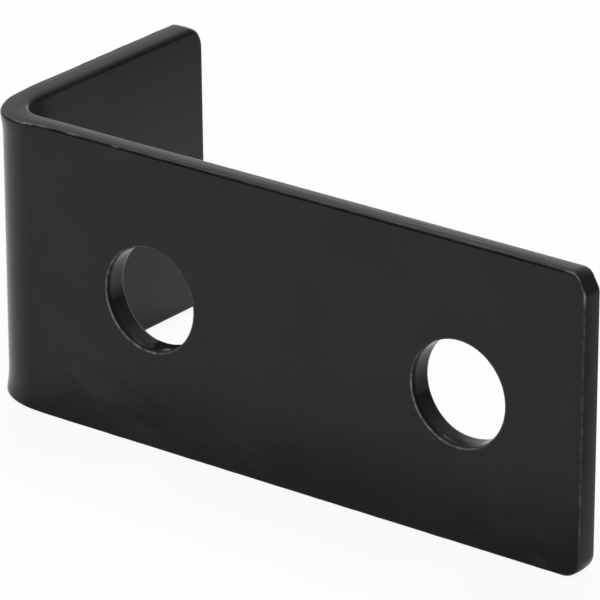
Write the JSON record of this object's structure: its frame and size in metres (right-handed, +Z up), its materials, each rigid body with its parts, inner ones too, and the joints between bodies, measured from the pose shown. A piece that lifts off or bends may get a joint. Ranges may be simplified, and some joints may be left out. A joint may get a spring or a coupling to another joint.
{
  "type": "corner brace",
  "caption": "Steel strip folded square into a long and a short leg, with rounded corners and bolt holes, painted black, to fasten two members at a corner.",
  "frame": {"origin": "middle of the bounding box, on the surface that the brace stands on", "axes": "+Z up along the fold, +X along the long leg towards its free end, +Y along the short leg towards its free end"},
  "size_m": [0.0904, 0.0408, 0.0381],
  "materials": {
    "black_paint": "semi-gloss black paint, worn thin on the edges"
  },
  "bodies": {
    "root": {"brace": "black_paint"}
  },
  "joints": []
}
